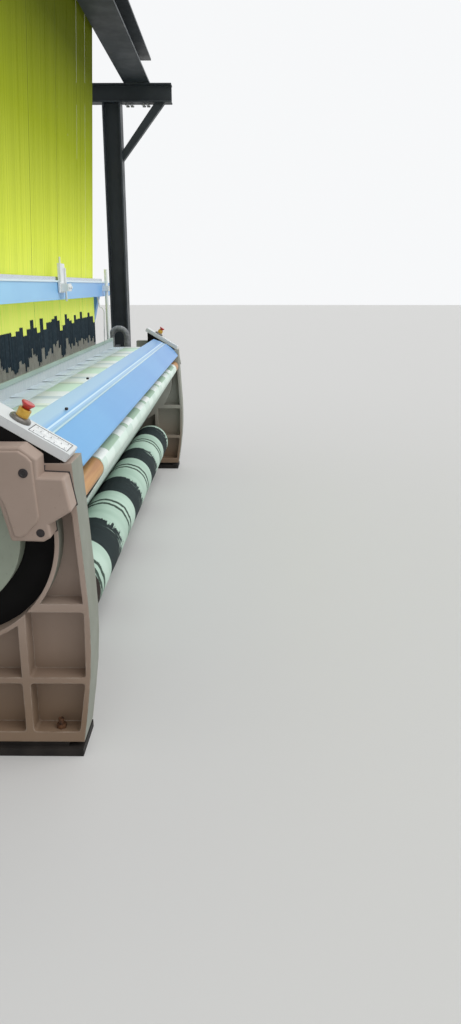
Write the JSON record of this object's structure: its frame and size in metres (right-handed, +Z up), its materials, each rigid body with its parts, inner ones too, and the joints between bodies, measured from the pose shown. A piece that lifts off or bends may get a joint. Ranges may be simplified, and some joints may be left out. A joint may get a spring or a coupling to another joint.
{
  "type": "power loom",
  "caption": "Jacquard rapier loom with side frames, cloth roll, sley, harness and an overhead gantry carrying the jacquard head.",
  "frame": {"origin": "on the floor, at the middle of the machine's length and depth", "axes": "+X along the loom to the weaver's right, +Y from the weaver to the warp beam, +Z up"},
  "size_m": [6.62, 1.9244, 4.162],
  "materials": {
    "casting_paint": "semi-gloss enamel on cast iron",
    "cover_blue": "gloss enamel",
    "arch_blue": "gloss enamel",
    "black_steel": "satin black paint",
    "beam_grey": "satin grey paint",
    "white_paint": "semi-gloss white paint",
    "panel_grey": "fine-textured light grey paint",
    "stop_yellow": "moulded",
    "stop_red": "moulded",
    "black_plastic": "moulded plug",
    "guard_paint": "grey-green paint",
    "bare_steel": "ground",
    "roller_rubber": "ground covering",
    "roller_tan": "smooth covering",
    "brass_rings": "turned",
    "cloth_green": "woven cloth",
    "cloth_dark": "woven cloth, rolled",
    "heddle_dark": "heddle sleeves and wires",
    "cord_lime": "twisted cord",
    "board_grey": "perforated board",
    "spring_steel": "drawn wire",
    "warp_yarn": "yarn",
    "gantry_grey": "dark grey structural paint",
    "head_grey": "grey enamel",
    "hose_grey": "ribbed flexible hose",
    "feeder_blue": "satin paint",
    "disc_white": "moulded",
    "cabinet_grey": "textured light grey paint"
  },
  "bodies": {
    "machine": {"frame_left": "casting_paint", "frame_right": "casting_paint", "foot_plates": "black_steel", "breast_beam": "beam_grey", "lower_beam": "beam_grey", "front_cover": "cover_blue", "arch_beam": "arch_blue", "arch_fittings": "white_paint", "control_panels": "panel_grey", "estop_collars": "stop_yellow", "gear_covers": "casting_paint", "cover_plugs": "black_plastic", "round_guards": "guard_paint", "inner_guards": "black_steel", "tape_left": "spring_steel", "tape_right": "spring_steel", "wheel_housings": "beam_grey", "temples": "brass_rings", "cloth_sheet": "cloth_green", "comber_board": "board_grey", "springs_a": "spring_steel", "springs_b": "spring_steel", "spring_rail": "beam_grey", "warp_shed_a": "warp_yarn", "warp_shed_b": "warp_yarn", "warp_back": "warp_yarn", "drop_wires": "spring_steel", "jacquard_head": "head_grey", "gantry_posts": "gantry_grey", "gantry_beams": "gantry_grey", "main_motor": "black_steel", "suction_hose": "hose_grey", "weft_feeder": "feeder_blue", "control_cabinet": "cabinet_grey"},
    "sley": {"sley": "beam_grey", "reed": "bare_steel"},
    "left_rapier": {"rapier_left": "bare_steel"},
    "right_rapier": {"rapier_right": "bare_steel"},
    "left_wheel": {"rapier_wheel_left": "bare_steel"},
    "right_wheel": {"rapier_wheel_right": "bare_steel"},
    "take_up": {"take_up_roller": "roller_rubber"},
    "press": {"press_roller": "bare_steel"},
    "guide": {"guide_roller": "roller_tan"},
    "cloth_roller": {"cloth_beam": "black_steel", "cloth_roll": "cloth_dark"},
    "lift_a": {"heddles_a": "heddle_dark", "harness_a": "cord_lime", "lift_bars_a": "bare_steel"},
    "lift_b": {"heddles_b": "heddle_dark", "harness_b": "cord_lime", "lift_bars_b": "bare_steel"},
    "whip": {"whip_roller": "bare_steel"},
    "warp_roller": {"warp_beam": "head_grey", "warp_roll": "warp_yarn"},
    "drive": {"main_shaft": "bare_steel"},
    "pinion": {"motor_pinion": "bare_steel"},
    "upright": {"cardan_shaft": "bare_steel"},
    "left_stop": {"estop_left": "stop_red"},
    "right_stop": {"estop_right": "stop_red"},
    "winder": {"feeder_disc": "disc_white"}
  },
  "joints": [
    {"name": "sley_swing", "type": "hinge", "parent": "machine", "child": "sley", "pos_m": [0, -0.37778, 0.38], "axis": [-1, 0, 0], "range_deg": [-8.2, 0]},
    {"name": "rapier_left_slide", "type": "slide", "parent": "machine", "child": "left_rapier", "axis": [1, 0, 0], "range_m": [0, 1.8], "deforming": ["tape_left", "tape_right"]},
    {"name": "rapier_right_slide", "type": "slide", "parent": "machine", "child": "right_rapier", "axis": [1, 0, 0], "range_m": [-1.8, 0]},
    {"name": "left_wheel_spin", "type": "hinge", "parent": "machine", "child": "left_wheel", "pos_m": [-1.914, -0.46777, 0.9247], "axis": [0, 1, 0], "range_deg": [0, 1016.08]},
    {"name": "right_wheel_spin", "type": "hinge", "parent": "machine", "child": "right_wheel", "pos_m": [1.914, -0.46777, 0.9247], "axis": [0, 1, 0], "range_deg": [-1016.08, 0]},
    {"name": "lift_a_slide", "type": "slide", "parent": "machine", "child": "lift_a", "axis": [0, 0, 1], "range_m": [-0.07, 0.04], "deforming": ["springs_a", "springs_b", "warp_shed_a", "warp_shed_b"]},
    {"name": "lift_b_slide", "type": "slide", "parent": "machine", "child": "lift_b", "axis": [0, 0, 1], "range_m": [-0.04, 0.07]},
    {"name": "take_up_spin", "type": "hinge", "parent": "machine", "child": "take_up", "pos_m": [0, -0.74777, 0.905], "axis": [1, 0, 0], "continuous": true},
    {"name": "press_spin", "type": "hinge", "parent": "machine", "child": "press", "pos_m": [0, -0.82711, 0.82566], "axis": [1, 0, 0], "continuous": true},
    {"name": "guide_spin", "type": "hinge", "parent": "machine", "child": "guide", "pos_m": [0, -0.89777, 0.86], "axis": [1, 0, 0], "continuous": true},
    {"name": "cloth_roll_spin", "type": "hinge", "parent": "machine", "child": "cloth_roller", "pos_m": [0, -0.72277, 0.275], "axis": [1, 0, 0], "continuous": true},
    {"name": "warp_beam_spin", "type": "hinge", "parent": "machine", "child": "warp_roller", "pos_m": [0, 0.56222, 0.48], "axis": [1, 0, 0], "continuous": true},
    {"name": "whip_spin", "type": "hinge", "parent": "machine", "child": "whip", "pos_m": [0, 0.51223, 0.9591], "axis": [1, 0, 0], "continuous": true},
    {"name": "main_shaft_spin", "type": "hinge", "parent": "machine", "child": "drive", "pos_m": [0, -0.51777, 0.76], "axis": [1, 0, 0], "continuous": true},
    {"name": "pinion_spin", "type": "hinge", "parent": "machine", "child": "pinion", "pos_m": [2.15, -0.42778, 0.60411], "axis": [1, 0, 0], "continuous": true},
    {"name": "upright_spin", "type": "hinge", "parent": "machine", "child": "upright", "pos_m": [2.255, 0.02223, 2.2], "axis": [0, 0, 1], "continuous": true},
    {"name": "left_stop_press", "type": "slide", "parent": "machine", "child": "left_stop", "axis": [0, -0.515, 0.8572], "range_m": [-0.005, 0]},
    {"name": "right_stop_press", "type": "slide", "parent": "machine", "child": "right_stop", "axis": [0, -0.515, 0.8572], "range_m": [-0.005, 0]},
    {"name": "winder_spin", "type": "hinge", "parent": "machine", "child": "winder", "pos_m": [-2.625, -0.08778, 1.12], "axis": [1, 0, 0], "continuous": true}
  ],
  "couplings": [
    {"joint": "rapier_right_slide", "follows": "rapier_left_slide", "ratio": -1},
    {"joint": "left_wheel_spin", "follows": "rapier_left_slide", "rad_per_m": 9.8474},
    {"joint": "right_wheel_spin", "follows": "rapier_left_slide", "rad_per_m": -9.8474},
    {"joint": "lift_b_slide", "follows": "lift_a_slide", "ratio": -1},
    {"joint": "press_spin", "follows": "take_up_spin", "ratio": -2.1429},
    {"joint": "guide_spin", "follows": "take_up_spin", "ratio": -1.875},
    {"joint": "cloth_roll_spin", "follows": "take_up_spin", "ratio": 0.55556},
    {"joint": "whip_spin", "follows": "warp_beam_spin", "ratio": 4.4},
    {"joint": "pinion_spin", "follows": "main_shaft_spin", "ratio": -4},
    {"joint": "upright_spin", "follows": "main_shaft_spin", "ratio": 1}
  ]
}
